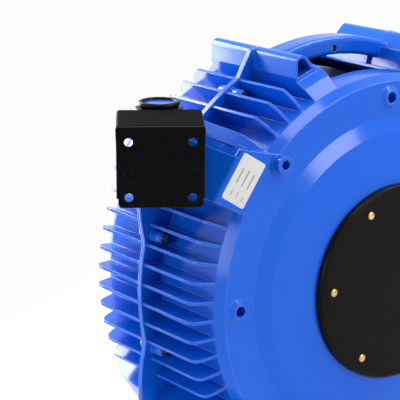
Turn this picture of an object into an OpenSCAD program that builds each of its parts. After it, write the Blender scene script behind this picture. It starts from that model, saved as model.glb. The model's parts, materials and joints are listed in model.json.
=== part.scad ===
// Swivelling wall reel for an extension cord: a two-half moulded case on a bracket, with a
// spring-driven drum inside. The row frame sits at the centre of the bracket's bolt pattern,
// +Y into the wall and +Z up. Case pieces are drawn round the axle: u to the wall, v up, w along.

/* [Bracket] */
// Width of the wall plate at its fold
plate_w = 84.4; // [78:0.2:88]
// Narrowing of the wall plate towards its foot
plate_taper = 4.6; // [0:0.2:6]
// Height of the wall plate
plate_h = 78.5; // [76:0.5:84]
// Height of the plate's top above the middle of the bolt pattern
plate_rise = 42.4; // [40:0.1:45]
// Thickness of the bracket's steel
sheet_t = 3; // [2.5:0.5:4]
// Distance between the bolt holes across the plate
bolt_dx = 60; // [56:1:64]
// Distance between the bolt holes up the plate
bolt_dz = 53; // [48:1:56]
// Radius of a bolt hole
bolt_r = 4.25; // [3:0.25:5.5]
// Corner radius at the plate's foot
plate_corner = 4; // [2:0.5:8]
// Distance from the wall to the pivot axis
stand_off = 100; // [98:1:110]
// Gap kept between the arm's end and the pivot axis
arm_gap = 24; // [24:0.5:28]
// Depth of the bracket's side cheeks at the pivot end
cheek_tip = 22.5; // [12:0.5:23]
// Depth of the bracket's side cheeks at the wall plate
cheek_root = 67.5; // [40:0.5:70]
// Distance of each web from the middle plane
web_x = 14; // [10:0.5:17]

/* [Pivot] */
// Outer radius of the pivot tube
tube_r = 23; // [22:0.5:23.5]
// Wall of the pivot tube
tube_wall = 4; // [3:0.5:4.5]
// Height of the pivot tube
tube_h = 38.8; // [34:0.1:40]
// Radius of the pivot post
post_r = 15.95; // [14:0.05:16.5]
// Radial running clearance of the post in its bushes
post_fit = 0.05; // [0.02:0.01:0.1]
// Flange thickness of a swivel bush
bush_flange = 1.5; // [1:0.25:2]
// Length of a swivel bush inside the tube
bush_len = 15; // [10:1:17]
// Radius of the post's foot
foot_r = 22; // [20:0.5:24]
// Thickness of the post's foot
foot_h = 10; // [8:0.5:12]
// Outer radius of the collar's bead
collar_r = 21; // [20.5:0.25:22]
// Radius of the collar's bead section
bead_r = 2.4; // [2:0.1:2.6]

/* [Case] */
// Outer radius of the drum wall
case_r = 212; // [210:0.5:214]
// Half width of the case at its flat ring
ring_w = 101.9; // [100:0.1:104]
// Depth of the rim's chamfer inside the drum wall
rim_in = 5.8; // [5:0.1:8]
// Width of the rim's chamfer
rim_side = 11.2; // [9:0.1:13]
// Wall thickness of the case
wall = 3; // [2.5:0.25:3.5]
// Radial width of the flat ring
flat_ring = 35.9; // [32:0.1:40]
// Radial width of the raised step's slope
step_slope = 15.5; // [12:0.1:18]
// Rise of the step
step_rise = 6.1; // [4:0.1:7]
// Further rise of the face from the step to the hub
cone_rise = 6; // [4:0.5:8]
// Radius of the hub recess
recess_r = 97; // [96:0.5:98]
// Depth of the hub recess
recess_h = 16; // [15:0.5:17]
// Distance of the pivot axis outside the drum wall
pivot_out = 0; // [-2:0.5:2]
// Drop from the bolt pattern's middle to the axle, as a share of the axle's distance to the pivot axis
drop_share = 0.698585; // [0.69:0.0005:0.705]
// Drop from the bolt pattern's middle to the seat on the pivot lug
seat_drop = 3.7; // [3:0.1:5]
// Swing of the case from square to the wall, as stored
rest_swing = 56; // [0:1:60]

/* [Fins] */
// Height of the fins above the drum wall
fin_h = 23; // [16:0.5:25]
// Thickness of a fin
fin_t = 2.8; // [2:0.1:3.5]
// Angle between neighbouring fins
fin_step = 5; // [4.8:0.1:5.1]
// Angle of the first of three fins between lug and handle
side_fin_a = 50.8; // [50:0.1:51]
// Angle of the first front fin
front_fin_a = 137.5; // [135:0.5:140]
// Half width of a fin's straight edge
fin_flat = 70; // [60:1:74]
// Height of the joint flange above the drum wall
spine_h = 25.2; // [23:0.1:27]
// Thickness of each half's joint flange
spine_t = 3; // [2.5:0.25:4]
// Distance of the flange's upright heel from the drum wall
heel_h = 25.4; // [24:0.1:28]

/* [Lugs] */
// Lower angle of the pivot lug
lug_a0 = 27.5; // [27:0.1:28]
// Upper angle of the pivot lug's block
lug_a1 = 39.3; // [38.5:0.1:40]
// Lower angle of the beam over the lug
beam_a0 = 42; // [41.5:0.1:42.5]
// Upper angle of the beam over the lug
beam_a1 = 45.6; // [45:0.1:46]
// Inward lean of the lug's cheek
cheek_lean = 20; // [16:1:22]
// Distance of the outer edge of the rating plate's cheek from the drum wall
cheek_h = 25.4; // [24:0.1:26]
// Bend radius between the flat ring and a lug's cheek
cheek_bend = 10; // [6:0.5:12]
// Radius of a cheek's outer edge
cheek_edge = 7.5; // [5:0.5:8]
// Depth of the gutter between a lug's block and its beam
gutter_d = 7; // [6:0.5:7]
// Bend radius of the beam's end
beam_bend = 18; // [10:1:20]
// Outer radius of the post's socket
socket_r = 28; // [27:0.5:30]
// Height of the socket
socket_h = 34; // [30:1:38]
// Half length of the box of each top and bottom lug
horn_w = 60; // [50:1:64]
// Half length of the tube along the crest of each top and bottom lug
crest_w = 70; // [62:1:74]
// Height of each lug's tube above the drum wall
horn_h = 24.6; // [24:0.1:27]
// Lower angle of the box under each lug's tube
horn_a0 = 65.8; // [65:0.1:66.5]
// Upper angle of the box under each lug's tube
horn_a1 = 74; // [73.5:0.1:74.5]
// Corner radius of the lug's tube
horn_round = 8.3; // [7:0.1:9]
// Wall of the lug's tube
horn_wall = 2.5; // [2:0.25:3]

/* [Handle] */
// Distance of the handle's outer face from the drum wall
handle_h = 28; // [26:0.5:30]
// Depth of the handle along the radius
handle_d = 19; // [17:0.5:21]
// Half width of the handle
handle_w = 15; // [12:0.5:18]
// Rounding of the handle's edges
handle_round = 5; // [3:0.5:7]
// Angle at which the handle starts
handle_a = 71; // [70:0.5:74]
// Angle at which the grip opening starts
grip_a = 75.5; // [75:0.1:78]
// Half width of the grip opening
grip_w = 60; // [50:1:64]

/* [Bosses and screws] */
// Outer radius of a tall side boss
boss_r = 9; // [8:0.5:10]
// Radius of the hole in a tall boss of the left half, for a peg
boss_hole = 5; // [3:0.25:6]
// Radius of the hole in a tall boss of the right half, for a screw
boss_bore = 4; // [3:0.25:4.5]
// Distance of the tall side bosses inside the flat ring's edge
boss_in = 7.2; // [6:0.2:12]
// Height of a tall side boss above the ring
boss_h = 10; // [6:0.5:12]
// Foot radius of a low side boss
low_boss_r = 12.2; // [11:0.2:13]
// Radius of the hole in a low boss of the left half, for a peg
low_boss_hole = 5.8; // [4:0.2:6.2]
// Radius of the hole in a low boss of the right half, for a screw
low_boss_bore = 4.8; // [4:0.2:5.2]
// Distance of the low side bosses inside the flat ring's edge
low_boss_in = 16.2; // [14:0.2:20]
// Height of a low side boss above the ring
low_boss_h = 4; // [3:0.5:5]
// Depth of the side bosses' holes below the ring
boss_depth = 11; // [6:0.5:12]
// Outer radius of a case-screw boss
dome_r = 6; // [5:0.5:7]
// Distance of the case screws from the drum wall
dome_out = 16; // [14:0.5:18]
// Half length of a case-screw boss before its dome
dome_w = 14; // [10:0.5:18]
// Shank radius of the case screws
screw_r = 2; // [1.5:0.25:2.5]
// Head radius of the case screws
screw_head = 3.5; // [3:0.25:4]
// Radial gap of a screw in its hole
screw_gap = 0.1; // [0.05:0.05:0.2]

/* [Hub covers] */
// Lap of a hub cover beyond its recess
cover_lap = 5.4; // [4:0.1:7]
// Height of a hub cover above the case
cover_h = 8; // [6:0.5:10]
// Thickness of a hub cover
cover_t = 3; // [2:0.25:4]
// Distance of the cover screws inside the recess
cover_screw_in = 11; // [9:0.5:16]
// Angle of the first cover screw
cover_screw_a = 3; // [0:1:10]
// Head radius of the cover screws
cover_head = 4; // [3:0.25:4.5]

/* [Axle and drum] */
// Radius of the axle
axle_r = 12.5; // [11:0.25:13.5]
// Radius of the axle's through bore
axle_bore = 8; // [6:0.5:9]
// Radial running clearance of the drum bushes on the axle
axle_fit = 0.05; // [0.02:0.01:0.1]
// Gap between the drum's flanges and the drum wall
flange_gap = 9; // [6:1:19]
// Thickness of a drum flange
flange_t = 3; // [2:0.5:4]
// Distance from a drum flange's inner face to the flat ring
side_room = 51.9; // [51:0.1:56]
// Outer radius of the drum's core
core_r = 90; // [80:1:100]
// Wall of the drum's core
core_t = 2; // [1.5:0.5:3]
// Outer radius of a drum bush
bush_r = 17; // [16:0.5:18]
// Distance of the drum's tie bolts inside the core's wall
tie_in = 12; // [8:1:14]
// Shank radius of a tie bolt
tie_r = 2.5; // [2:0.25:3]
// Head radius of a countersunk tie bolt
tie_head = 5; // [4:0.25:5.5]

/* [Spring] */
// Outer radius of the spring housing
spring_r = 140; // [130:1:146]
// Width of the spring housing
spring_w = 35; // [32:0.5:36]
// Wall of the spring housing
spring_wall = 2; // [1.5:0.5:3]
// Turns of the mainspring
spring_turns = 9; // [6:1:12]
// Thickness of the mainspring's strip
strip_t = 1.6; // [1.2:0.1:2.4]
// Width of the mainspring's strip
strip_w = 25; // [20:0.5:26]
// Outer radius of the spring arbor
arbor_r = 18; // [16:0.5:19]

/* [Ratchet] */
// Number of ratchet teeth
teeth = 20; // [20:20:20]
// Tip radius of the ratchet
ratchet_tip = 66; // [62:0.5:70]
// Depth of a ratchet tooth
tooth_h = 8; // [6:0.5:9]
// Width of the ratchet wheel
ratchet_w = 8; // [7:0.5:9]
// Lift of the pawl from its tooth, as stored
pawl_lift = 12; // [12:0.5:14]
// Radius of the pawl pin's journal
pawl_pin_r = 4; // [3:0.25:5]

/* [Slip rings] */
// Radius of the insulating hub
slip_r = 38; // [34:0.5:40]
// Radial thickness of a slip ring
slip_t = 3; // [2:0.5:4]
// Width of a slip ring
slip_w = 4; // [3:0.5:5]
// Distance from one slip ring to the next
slip_step = 8; // [7:0.5:8]
// Gap between a brush and its ring
brush_gap = 0.4; // [0.3:0.05:0.6]

/* [Cable inlet] */
// Radius of the inlet gland's bore
gland_bore = 5; // [3:0.25:6]
// Radius of the inlet gland's thread
gland_r = 8; // [7.5:0.25:9]
// Distance of the gland from the axle
gland_at = 62; // [55:1:66]

/* [Cable mouth] */
// Direction of the mouth round the axle
mouth_a = 205; // [203:1:207]
// Half height of the passage through the mouth
mouth_t = 24; // [22:0.5:25]
// Half width of the passage through the mouth
mouth_w = 27; // [25:0.5:29]
// Height of the mouth frame's seat above the drum wall
mouth_h = 10; // [8:0.5:12]
// Depth of the mouth frame
mouth_d = 27; // [26.5:0.5:30]
// Radius of a guide roller
roller_r = 6; // [5:0.25:6.5]
// Radius of a roller pin
roller_pin = 2; // [1.5:0.25:2.5]
// Radial running clearance of a roller on its pin
roller_fit = 0.05; // [0.02:0.01:0.1]

/* [Label] */
// Length of the blank rating plate
label_l = 49; // [40:1:50]
// Width of the blank rating plate
label_w = 25.2; // [20:0.2:26]
// Thickness of the rating plate
label_t = 0.3; // [0.2:0.1:0.5]
// Distance of the rating plate from the cheek's bend
label_in = 3.6; // [3.6:0.1:5]
// Rise of the rating plate's middle above the middle of its cheek
label_up = 1.2; // [-1:0.1:2]

/* [Hidden] */
$fn = 96;
blue = [0.10, 0.32, 0.80];
black = [0.08, 0.08, 0.09];
eps = 0.01;
face_gap = 0.3; // running gap between faces that pass each other
rim_w = ring_w - rim_side;
ring_r = case_r - rim_in;
step_out = ring_r - flat_ring;
step_in = step_out - step_slope;
step_w = ring_w + step_rise;
drum_w = ring_w - side_room;
tie_at = core_r - core_t - tie_in;
pivot_y = case_r + pivot_out;
axle_drop = drop_share * pivot_y;
socket_top = axle_drop - seat_drop;
fin_r = case_r + fin_h;
spine_r = case_r + spine_h;
heel_u = case_r + heel_h;
horn_v = case_r + horn_h;
handle_out = case_r + handle_h;
handle_in = handle_out - handle_d;
boss_at = ring_r - boss_in;
low_boss_at = ring_r - low_boss_in;
dome_at = case_r + dome_out;
cover_r = recess_r + cover_lap;
cover_screw_at = recess_r - cover_screw_in;
flange_r = case_r - wall - flange_gap;
mouth_seat = case_r + mouth_h;
hub_w = step_w + cone_rise;
lip_r = recess_r + 2 * wall;
floor_w = hub_w - recess_h;
cover_w = hub_w + cover_h;
cover_crown = 0.8; // rise of a cover's face to its flat middle
cover_eye_r = 14; // radius of that middle
lug_mid = 35;
beam_mid = (beam_a0 + beam_a1) / 2;
flange_w = drum_w + flange_t;
bush_in = 12; // length of a drum bush inside its flange
hub_bore = bush_r + 5; // bore of the parts fixed round the bushes
tie_head_h = 2.6;
tie_nut_h = 2.2;
tie_end = flange_w + spring_wall + tie_nut_h;
tooth_step = 360 / teeth;
tube_z0 = socket_top + face_gap + bush_flange;
tube_z1 = tube_z0 + tube_h;
collar_z = tube_z1 + bush_flange + face_gap;
collar_top = collar_z + 8.2;
post_top = collar_top - 2.5;
foot_z = socket_top - socket_h + 9;
collar_neck = collar_r - bead_r - 0.6;
collar_pin_z = collar_z + 4.4;
post_bore_h = tube_h + foot_h + 1; // depth of the cable way up the post
collar_pin_r = 1.2;
slip_out = slip_r + slip_t;
hub_len = 3 * slip_step + 5;
horn_u = 0.416 * case_r; // middle of the lug tube's rounded top
horn_tilt = 136; // turn of the lug tube's skin over its crest
handle_screw_w = 10; // seat of the screw in the handle
dome_screw_w = dome_w + 2; // seat of the other case screws
mouth_t_out = mouth_t + 10;
mouth_w_out = mouth_w + 17;
mouth_screw_t = mouth_t + 5;
mouth_screw_w = mouth_w + 9;
roller_t = mouth_t - 1 - roller_r; // offset of the long rollers
roller_x = mouth_w - 1 - roller_r; // offset of the short rollers
roller_d1 = mouth_seat + roller_r + 0.5;
roller_d2 = mouth_seat + mouth_d - roller_r - 1;
screw_a = [15, 57.5, 122.5, 150, 180, 237.5, 270, 302.5, 345];
pawl_at = [-45, 62];
clamp_a = 200; // direction of the cord clamp
clamp_dx = 14; // offset of the clamp's screws
brush_a = 240; // direction of the brush holder
wire_hole_r = 5;
holder_l = 24;
holder_t = 18;
brush_t = 8;
brush_w = 3;
brush_fit = 0.1;

// ---- places ----

module in_case() {
  translate([0, -stand_off, -axle_drop])
    rotate([0, 0, -rest_swing])
      translate([0, -pivot_y, 0])
        rotate([90, 0, 90])
          children();
}

module in_pivot() {
  translate([pivot_y, 0, 0])
    rotate([-90, 0, 0])
      children();
}

module in_bracket_pivot() {
  translate([0, -stand_off, -axle_drop])
    children();
}

module at_mouth() {
  rotate([0, 0, mouth_a])
    children();
}

module left_side() {
  mirror([0, 0, 1])
    children();
}

module ring(r_out, r_in, h) {
  difference() {
    cylinder(r = r_out, h = h);
    translate([0, 0, -1])
      cylinder(r = r_in, h = h + 2);
  }
}

function on_circle(r, a) = [r * cos(a), r * sin(a)];
function flat_point(p) = [p.x, p.y];
function unit(p) = p / norm(p);
function turned(p, a) = [p.x * cos(a) - p.y * sin(a), p.x * sin(a) + p.y * cos(a)];

// points of the round at corner b on the way from a to c, in steps of about six degrees
function corner_round(a, b, c, r) =
  let (p = unit(a - b), q = unit(c - b), half = acos(p * q) / 2, steps = ceil((180 - 2 * half) / 6),
    mid = b + unit(p + q) * (r / sin(half)), first = b + p * (r / tan(half)) - mid)
    [for (i = [0 : steps]) mid + turned(first, (180 - 2 * half) * i / steps)];

// convex outline, drawn anticlockwise, whose points are [x, y, corner radius]
module rounded_polygon(points) {
  n = len(points);
  polygon([for (i = [0 : n - 1]) each points[i][2] > 0
    ? corner_round(flat_point(points[(i + n - 1) % n]), flat_point(points[i]),
        flat_point(points[(i + 1) % n]), points[i][2])
    : [flat_point(points[i])]]);
}

// flat sector between two angles, used to cut or to keep
module sector(a0, a1, r_in, r_out) {
  mid = (a0 + a1) / 2;
  far = r_out / cos((a1 - a0) / 2) + 1;
  intersection() {
    difference() {
      circle(r = r_out);
      circle(r = r_in);
    }
    polygon([[0, 0], on_circle(far, a0), on_circle(far / cos((a1 - a0) / 4), mid), on_circle(far, a1)]);
  }
}

// plate that holds the axle's direction, with its (r, w) outline as the child
module radial_plate(a, t) {
  rotate([0, 0, a])
    translate([0, t / 2, 0])
      rotate([90, 0, 0])
        linear_extrude(t)
          children();
}

// ---- case ----

module case_skin() {
  rotate_extrude()
    polygon([[0, 0], [case_r, 0], [case_r, rim_w], [ring_r, ring_w], [step_out, ring_w],
      [step_in, step_w], [lip_r, hub_w], [0, hub_w]]);
}

module case_void() {
  top = floor_w - wall;
  rotate_extrude()
    polygon([[0, -1], [case_r - wall, -1], [case_r - wall, rim_w - 1], [ring_r - 2, ring_w - wall],
      [step_out - 1, ring_w - wall], [step_in - 1, step_w - wall], [lip_r, hub_w - wall],
      [recess_r + wall, hub_w - wall - 0.2], [recess_r + wall, top], [0, top]]);
}

module fin_outline(square) {
  corner = square ? [[fin_r - 0.6, fin_flat + 9], [fin_r - 3, fin_flat + 13.5],
      [fin_r - 9.5, fin_flat + 17]]
    : [[fin_r - 0.8, fin_flat + 3], [fin_r - 3.8, fin_flat + 6.8], [fin_r - 11, fin_flat + 13]];
  polygon(concat([[case_r - 2, 0], [fin_r, 0], [fin_r, fin_flat]], corner,
    [[case_r - 1, rim_w - 0.5], [case_r - 2, rim_w - 1]]));
}

module fins() {
  for (i = [0 : 9])
    radial_plate(fin_step * (i - 4.5), fin_t) fin_outline(true);
  for (q = [0, 1], m = [0, 1], i = [0 : 2])
    mirror([q, 0, 0])
      mirror([0, m, 0])
        radial_plate(side_fin_a + (fin_step + 0.15) * i, fin_t) fin_outline(false);
  for (i = [0 : 10])
    radial_plate(front_fin_a + fin_step * i, fin_t) fin_outline(true);
  radial_plate(222.5, fin_t) fin_outline(true);
  for (i = [0 : 3])
    radial_plate(262.5 + fin_step * i, fin_t) fin_outline(false);
}

// web of the pivot lug in the joint plane
module heel() {
  polygon([on_circle(case_r + 4.5, 11.7), on_circle(spine_r - 0.3, 12.3), on_circle(spine_r + 10, 17.4),
    [heel_u, heel_u * tan(20.6)], [heel_u, socket_top - 6], [heel_u - 7.4, socket_top],
    [pivot_y - 26, socket_top], [pivot_y - 30, socket_top + 5.6], on_circle(spine_r - 0.2, 48.3),
    on_circle(case_r + 9, 48.7)]);
}

// web of the top lug in the joint plane
module horn_web() {
  polygon([on_circle(spine_r, 60.9), [horn_u + 12, horn_v - 2.4], [horn_u + 4, horn_v],
    on_circle(case_r + 19.8, 72.4), on_circle(case_r + 1.6, 73.7), on_circle(case_r + 3.6, 61.8)]);
}

module spine() {
  linear_extrude(spine_t)
    difference() {
      union() {
        circle(r = spine_r);
        heel();
        mirror([0, 1, 0]) heel();
        for (q = [0, 1], m = [0, 1])
          mirror([q, 0, 0])
            mirror([0, m, 0])
              horn_web();
      }
      circle(r = case_r - wall / 2);
      sector(grip_a - 0.5, 180.5 - grip_a, case_r - 20, spine_r + 8);
      sector(mouth_a - 9.6, mouth_a + 9.6, case_r - 20, spine_r + 8);
    }
}

// straight-sided block across the radius at angle a, kept between two angles
module lug_block(a, a0, a1) {
  intersection() {
    rotate([0, 0, a])
      translate([0, 80, 0])
        rotate([90, 0, 0])
          linear_extrude(160)
            children();
    linear_extrude(ring_w + 1)
      sector(a0, a1, case_r - 12, case_r + 60);
  }
}

// outline of a lug's block, set back for its hollow: the left one carries the rating plate
module lug_profile(is_left, back = 0) {
  top = ring_w - back;
  bend_r = ring_r + cheek_bend * tan(cheek_lean / 2) - back;
  tip_r = case_r + (is_left ? cheek_h : cheek_h - 8) - back;
  sides = is_left ? [[38, 0], [34, 30], [30, 60]] : [[38, 0], [33, 30], [28, 60], [24, top - 22.9]];
  rounded_polygon(concat([[case_r - 13, 0, 0]], [for (p = sides) [case_r + p.x - back, p.y, 0]],
    [[tip_r, top - tan(cheek_lean) * (tip_r - bend_r), max(0, cheek_edge - back)],
      [bend_r, top, max(0, cheek_bend - back)], [case_r - 13, top, 0]]));
}

module beam_profile() {
  rounded_polygon([[case_r - 13, 0, 0], [case_r + 31, 0, 0], [case_r + 28.9, 18, 0],
    [case_r + 26.6, 36.5, 0], [case_r + 24.5, 55, 0], [fin_r - 1, rim_w - 15.7, beam_bend],
    [case_r - 1, rim_w + 0.3, 0], [case_r - 13, rim_w + 0.3, 0]]);
}

// outline of the gutter between a lug's block and its beam, set back for its hollow
module gutter_profile(is_left, back = 0) {
  intersection() {
    lug_profile(is_left, gutter_d + back);
    translate([case_r - 13, 0])
      square([100, rim_w - 8 - back]);
  }
}

module lug(is_left) {
  difference() {
    union() {
      lug_block(lug_mid, lug_a0, lug_a1) lug_profile(is_left);
      lug_block(beam_mid, beam_a0, beam_a1) beam_profile();
      lug_block(lug_a1, lug_a1 - 1, beam_a0 + 1) gutter_profile(is_left);
      intersection() {
        lug_block(lug_mid, lug_a1 - 1, 46.5) lug_profile(is_left);
        translate([0, 0, rim_w - 5.7])
          linear_extrude(ring_w)
            polygon([on_circle(case_r - 12, 38), on_circle(case_r + 25, 38),
              on_circle(case_r + 25, 41.5), on_circle(ring_r, 46.5), on_circle(case_r - 12, 46.5)]);
      }
    }
    in_pivot()
      translate([0, 0, socket_top])
        cylinder(r = tube_r + 3, h = 60);
  }
}

module lug_void(is_left) {
  lug_block(lug_mid, lug_a0 + 0.8, lug_a1 - 0.8) lug_profile(is_left, wall);
  lug_block(lug_a1, lug_a1 - 1, beam_a0) gutter_profile(is_left, wall);
}

module horn_outline(inset) {
  r = horn_round - inset;
  middle = [horn_u, horn_v - horn_round];
  peak = middle + [r, r / tan((180 - horn_tilt) / 2)];
  sill = [horn_u + r, (horn_u + horn_round) * tan(horn_a0)];
  base = inset > 0 ? [on_circle(case_r + 22.7, 71.2), [sill.x, sill.y - 0.1]]
    : [on_circle(case_r + 19.3, 72.5), on_circle(case_r + 2.2, 73.2), on_circle(case_r - 1.8, 67),
      on_circle(case_r - 2, horn_a0), sill];
  polygon(concat(corner_round(sill, peak, peak + on_circle(1, horn_tilt + 90), r), base));
}

// box with a tube along its crest, beside the handle and under the case
module horn() {
  linear_extrude(crest_w)
    horn_outline(0);
  intersection() {
    rotate_extrude()
      polygon([[case_r - 8, 0], [fin_r - 2, 0], [fin_r - 2, horn_w], [fin_r - 4, horn_w + 9],
        [fin_r - 11, horn_w + 19], [case_r - 1, rim_w], [case_r - 8, rim_w]]);
    linear_extrude(rim_w + 1)
      sector(horn_a0, horn_a1, case_r - 10, fin_r + 20);
  }
}

module horn_void() {
  translate([0, 0, -1])
    linear_extrude(crest_w + 2)
      horn_outline(horn_wall);
  intersection() {
    rotate_extrude()
      polygon([[case_r - 10, -1], [fin_r - 5, -1], [fin_r - 5, horn_w - 2], [fin_r - 7, horn_w + 7],
        [fin_r - 13, horn_w + 16], [case_r - 1, rim_w - 5], [case_r - 10, rim_w - 5]]);
    translate([0, 0, -2])
      linear_extrude(rim_w)
        sector(horn_a0 + 0.9, horn_a1 - 0.9, case_r - 12, fin_r + 20);
  }
}

module handle_bar() {
  k = handle_round;
  intersection() {
    rotate_extrude() {
      translate([handle_in, 0])
        square([handle_out - handle_in, handle_w - k]);
      translate([handle_in + k, 0])
        square([handle_out - handle_in - 2 * k, handle_w]);
      for (r = [handle_in + k, handle_out - k])
        translate([r, handle_w - k])
          circle(r = k);
    }
    linear_extrude(handle_w + 1)
      sector(handle_a, 180 - handle_a, handle_in - 2, handle_out + 2);
  }
}

module tall_boss_places() {
  for (i = [0 : 3])
    rotate([0, 0, 45 + 90 * i])
      translate([boss_at, 0, ring_w])
        children();
}

module low_boss_places() {
  for (i = [0 : 3])
    rotate([0, 0, 90 * i])
      translate([low_boss_at, 0, ring_w])
        children();
}

module side_bosses() {
  tall_boss_places()
    translate([0, 0, -1])
      cylinder(r = boss_r, h = boss_h + 1);
  low_boss_places()
    translate([0, 0, -1])
      cylinder(r1 = low_boss_r + 1.2, r2 = low_boss_hole + 1.4, h = low_boss_h + 1);
}

module side_boss_holes(is_left) {
  tall_boss_places()
    translate([0, 0, -boss_depth])
      cylinder(r = is_left ? boss_hole : boss_bore, h = boss_depth + boss_h + 1);
  low_boss_places()
    translate([0, 0, -boss_depth])
      cylinder(r = is_left ? low_boss_hole : low_boss_bore, h = boss_depth + low_boss_h + 1);
}

// closed cups behind the side bosses
module side_boss_cups() {
  tall_boss_places()
    translate([0, 0, -boss_depth - 2])
      cylinder(r = boss_hole + 2, h = boss_depth + 1);
  low_boss_places()
    translate([0, 0, -boss_depth - 2])
      cylinder(r = low_boss_hole + 2, h = boss_depth + 1);
}

module screw_bosses() {
  for (a = screw_a)
    translate(concat(on_circle(dome_at, a), [0])) {
      cylinder(r = dome_r, h = dome_w);
      translate([0, 0, dome_w])
        sphere(r = dome_r);
    }
}

module screw_holes(is_left) {
  for (a = concat(screw_a, [90]))
    translate(concat(on_circle(dome_at, a), [-1]))
      cylinder(r = screw_r + screw_gap, h = is_left ? dome_w + 10 : 11);
  if (is_left) {
    for (a = screw_a)
      translate(concat(on_circle(dome_at, a), [dome_screw_w]))
        cylinder(r = screw_head + screw_gap, h = 10);
    translate(concat(on_circle(dome_at, 90), [handle_screw_w]))
      cylinder(r = screw_head + screw_gap, h = 10);
  }
}

module cover_posts() {
  for (i = [0 : 5])
    translate(concat(on_circle(cover_screw_at, cover_screw_a + 60 * i), [floor_w - 1]))
      cylinder(r = 5, h = cover_w - cover_t - floor_w + 1);
}

module cover_post_holes() {
  for (i = [0 : 5])
    translate(concat(on_circle(cover_screw_at, cover_screw_a + 60 * i), [floor_w + 4]))
      cylinder(r = screw_r + screw_gap, h = 30);
}

module mouth_neck() {
  at_mouth()
    translate([case_r - 8, -mouth_t_out, 0])
      cube([mouth_seat - case_r + 8, 2 * mouth_t_out, mouth_w_out]);
}

module mouth_passage() {
  at_mouth()
    translate([case_r - 30, -mouth_t, -1])
      cube([60, 2 * mouth_t, mouth_w + 1]);
}

module mouth_screw_places() {
  at_mouth()
    for (s = [-1, 1])
      translate([mouth_seat, s * (mouth_screw_t), mouth_screw_w])
        rotate([0, 90, 0])
          children();
}

module case_half(is_left) {
  difference() {
    union() {
      case_skin();
      fins();
      spine();
      lug(is_left);
      mirror([0, 1, 0]) lug(is_left);
      for (q = [0, 1], m = [0, 1])
        mirror([q, 0, 0])
          mirror([0, m, 0])
            horn();
      handle_bar();
      side_bosses();
      screw_bosses();
      mouth_neck();
      intersection() {
        in_pivot()
          translate([0, 0, socket_top - socket_h])
            cylinder(r = socket_r, h = socket_h);
        linear_extrude(socket_r + 1)
          square([300, 300]);
      }
    }
    case_void();
    lug_void_cut(is_left);
    for (q = [0, 1], m = [0, 1])
      mirror([q, 0, 0])
        mirror([0, m, 0])
          horn_void();
    translate([0, 0, -1])
      linear_extrude(grip_w + 1)
        sector(grip_a, 180 - grip_a, case_r - 12, handle_in - 1);
    translate([0, 0, floor_w])
      cylinder(r = recess_r, h = recess_h + 5);
    translate([0, 0, floor_w - 2 * wall])
      cylinder(r = axle_r + screw_gap, h = 20);
    side_boss_holes(is_left);
    screw_holes(is_left);
    mouth_passage();
    mouth_screw_places()
      translate([0, 0, -12])
        cylinder(r = screw_r + screw_gap, h = 14);
    in_pivot() {
      translate([0, 0, foot_z])
        cylinder(r = foot_r + screw_gap, h = foot_h + screw_gap);
      translate([0, 0, foot_z])
        cylinder(r = post_r + screw_gap, h = socket_h);
    }
    if (!is_left) {
      translate([pawl_at.x, pawl_at.y, floor_w - wall - 1])
        cylinder(r = pawl_pin_r, h = wall + 2);
      translate(concat(on_circle(50, 60), [floor_w - wall - 1]))
        cylinder(r = wire_hole_r, h = wall + 2);
    }
  }
  difference() {
    side_boss_cups();
    side_boss_holes(is_left);
  }
  difference() {
    cover_posts();
    cover_post_holes();
  }
  translate([0, 0, floor_w - 2 * wall])
    ring(axle_r + 8, axle_r + screw_gap, wall + 1);
}

// hollow of both pivot lugs, kept out of the socket
module lug_void_cut(is_left) {
  difference() {
    lug_void(is_left);
    in_pivot()
      translate([0, 0, socket_top - socket_h])
        cylinder(r = socket_r, h = 100);
    linear_extrude(spine_t)
      square([300, 300]);
  }
  difference() {
    mirror([0, 1, 0]) lug_void(is_left);
    linear_extrude(spine_t)
      translate([0, -300])
        square([300, 300]);
  }
}

module case_left() {
  color(blue) in_case() left_side() case_half(true);
}

module case_right() {
  color(blue) in_case() case_half(false);
}

module case_screws() {
  color("goldenrod") in_case()
    for (a = concat(screw_a, [90])) {
      head_w = a == 90 ? handle_screw_w : dome_screw_w;
      translate(concat(on_circle(dome_at, a), [-head_w - 2])) {
        cylinder(r = screw_head, h = 2);
        cylinder(r = screw_r, h = head_w + 2 + 9);
      }
    }
}

module cover_shell() {
  rotate_extrude()
    polygon([[0, cover_w - cover_t], [recess_r - cover_t, cover_w - cover_t],
      [recess_r - cover_t, hub_w - 3], [recess_r - 0.3, hub_w - 3], [recess_r - 0.3, hub_w],
      [cover_r, hub_w], [cover_r, cover_w - 3], [cover_r - 0.8, cover_w - 1.2],
      [cover_r - 2.6, cover_w], [cover_eye_r, cover_w + cover_crown], [0, cover_w + cover_crown]]);
}

module cover_holes() {
  for (i = [0 : 5])
    translate(concat(on_circle(cover_screw_at, cover_screw_a + 60 * i), [cover_w - cover_t - 1]))
      cylinder(r = screw_r + screw_gap, h = cover_t + 4);
}

module hub_cover_left() {
  color(black) in_case() left_side()
    difference() {
      cover_shell();
      cover_holes();
    }
}

module hub_cover_right() {
  color(black) in_case()
    difference() {
      union() {
        cover_shell();
        translate([0, -gland_at, cover_w - 1])
          cylinder(r = gland_r + 5, h = 1 + cover_crown);
      }
      cover_holes();
      translate([0, -gland_at, hub_w - 5])
        cylinder(r = gland_r + screw_gap, h = 20);
    }
}

module cover_screws() {
  head = cover_w + 0.2;
  color("goldenrod") in_case()
    for (s = [0, 1], i = [0 : 5])
      mirror([0, 0, s])
        translate(concat(on_circle(cover_screw_at, cover_screw_a + 60 * i), [0])) {
          translate([0, 0, head])
            cylinder(r1 = cover_head, r2 = cover_head - 1, h = 1.8);
          translate([0, 0, head - 13])
            cylinder(r = screw_r, h = 13);
        }
}

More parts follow.
